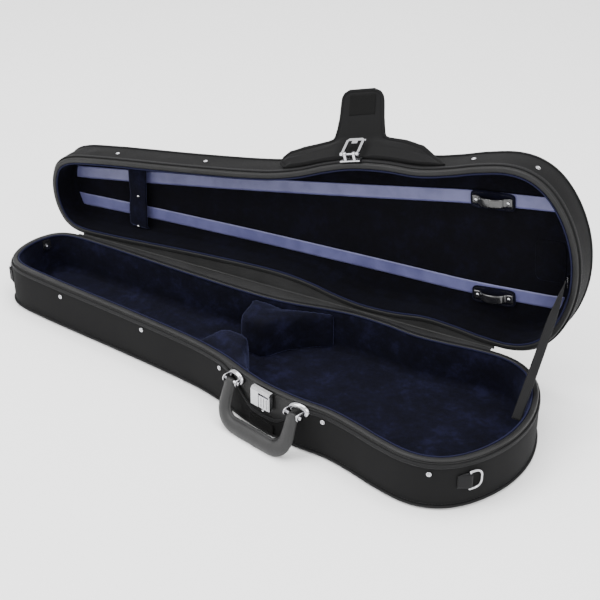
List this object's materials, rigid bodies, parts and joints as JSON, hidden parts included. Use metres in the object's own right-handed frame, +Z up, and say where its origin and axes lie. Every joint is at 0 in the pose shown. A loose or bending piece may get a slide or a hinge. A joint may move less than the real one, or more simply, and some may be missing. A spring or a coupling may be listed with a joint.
{
  "type": "violin case",
  "caption": "Violin-shaped hard case in a black canvas cover, hinged lid open, plush lining, bow ribbons, carry handle, lock and hasp, strap rings, press studs and lid flap.",
  "frame": {"origin": "centre of the flat bottom that the case lies on", "axes": "+X along the case from the scroll end to the lower bout, -Y towards the lock and handle, +Y towards the lid's hinge, +Z up"},
  "size_m": [0.8062, 0.3412, 0.3437],
  "materials": {
    "canvas": "tight matt nylon canvas",
    "binding": "grosgrain binding, slight sheen",
    "leatherette": "fine grained leatherette, satin",
    "vinyl": "smooth vinyl, satin",
    "shell_board": "board shell wrapped in leatherette",
    "plush": "velour pile",
    "piping": "piping cord",
    "ribbon": "satin ribbon",
    "webbing": "woven webbing",
    "chrome": "polished plating",
    "handle_leather": "padded leatherette",
    "patent_leather": "glossy leather",
    "hook_tape": "hook-and-loop tape"
  },
  "bodies": {
    "case_base": {"base_bottom_panel": "canvas", "base_shell": "shell_board", "base_canvas_cover": "canvas", "base_canvas_binding": "binding", "base_bottom_welt": "binding", "base_rim": "leatherette", "base_rim_piping": "piping", "base_wall_lining": "plush", "base_floor_pad": "plush", "neck_cradle_front": "plush", "neck_cradle_rear": "plush", "scroll_tab": "patent_leather", "scroll_snap": "chrome", "base_press_studs": "chrome", "lock_base": "chrome", "handle_bracket_left": "chrome", "handle_bracket_right": "chrome", "dring_tab_right": "webbing", "dring_tab_left": "webbing", "base_flap_patch": "hook_tape", "gusset_base_leaf": "vinyl", "hinge_tape": "vinyl", "stay_strap": "webbing", "stay_base_anchor": "chrome"},
    "lid": {"lid_shell": "shell_board", "lid_canvas_cover": "canvas", "lid_canvas_binding": "binding", "lid_top_welt": "binding", "lid_rim": "leatherette", "lid_rim_piping": "piping", "lid_lining": "plush", "lid_press_studs": "chrome", "bow_ribbon_upper": "ribbon", "bow_ribbon_lower": "ribbon", "bow_tip_strap": "plush", "bow_tip_rivets": "chrome", "frog_pad_upper": "patent_leather", "frog_strap_upper": "patent_leather", "frog_rivets_upper": "chrome", "frog_pad_lower": "patent_leather", "frog_strap_lower": "patent_leather", "frog_rivets_lower": "chrome", "lid_pocket_patch": "plush", "gusset_lid_leaf": "vinyl", "stay_lid_anchor": "chrome", "hasp_plate": "chrome"},
    "handle": {"handle_grip": "handle_leather"},
    "lock_slide": {"lock_slide": "chrome"},
    "dring_right": {"dring_right": "chrome"},
    "dring_left": {"dring_left": "chrome"},
    "hasp": {"hasp_bail": "chrome"},
    "flap": {"lid_flap": "canvas", "flap_patch": "hook_tape"}
  },
  "joints": [
    {"name": "lid_hinge", "type": "hinge", "parent": "case_base", "child": "lid", "pos_m": [0, 0.0973, 0.059], "axis": [0.9949, 0.1011, 0], "range_deg": [0, 90.7], "deforming": ["hinge_tape", "stay_strap"]},
    {"name": "handle_swing", "type": "hinge", "parent": "case_base", "child": "handle", "pos_m": [0.10098, -0.11237, 0.057], "axis": [-0.9875, 0.1576, 0], "range_deg": [-8, 68]},
    {"name": "lock_slide_press", "type": "slide", "parent": "case_base", "child": "lock_slide", "axis": [0, 0, -1], "range_m": [0, 0.0035], "stiffness_N_per_m": 300, "springref_m": -0.001},
    {"name": "dring_right_swing", "type": "hinge", "parent": "case_base", "child": "dring_right", "pos_m": [0.37234, -0.08939, 0.038], "axis": [0, 0, -1], "range_deg": [0, 140]},
    {"name": "dring_left_swing", "type": "hinge", "parent": "case_base", "child": "dring_left", "pos_m": [-0.38749, -0.04184, 0.038], "axis": [0, 0, 1], "range_deg": [0, 140]},
    {"name": "hasp_swing", "type": "hinge", "parent": "lid", "child": "hasp", "pos_m": [0.07309, 0.1206, 0.27982], "axis": [0.9612, 0.1008, 0.2566], "range_deg": [-4, 156]},
    {"name": "flap_fold", "type": "hinge", "parent": "lid", "child": "flap", "pos_m": [0.07137, 0.12889, 0.27328], "axis": [0.9612, 0.1008, 0.2566], "range_deg": [-3, 12]}
  ]
}
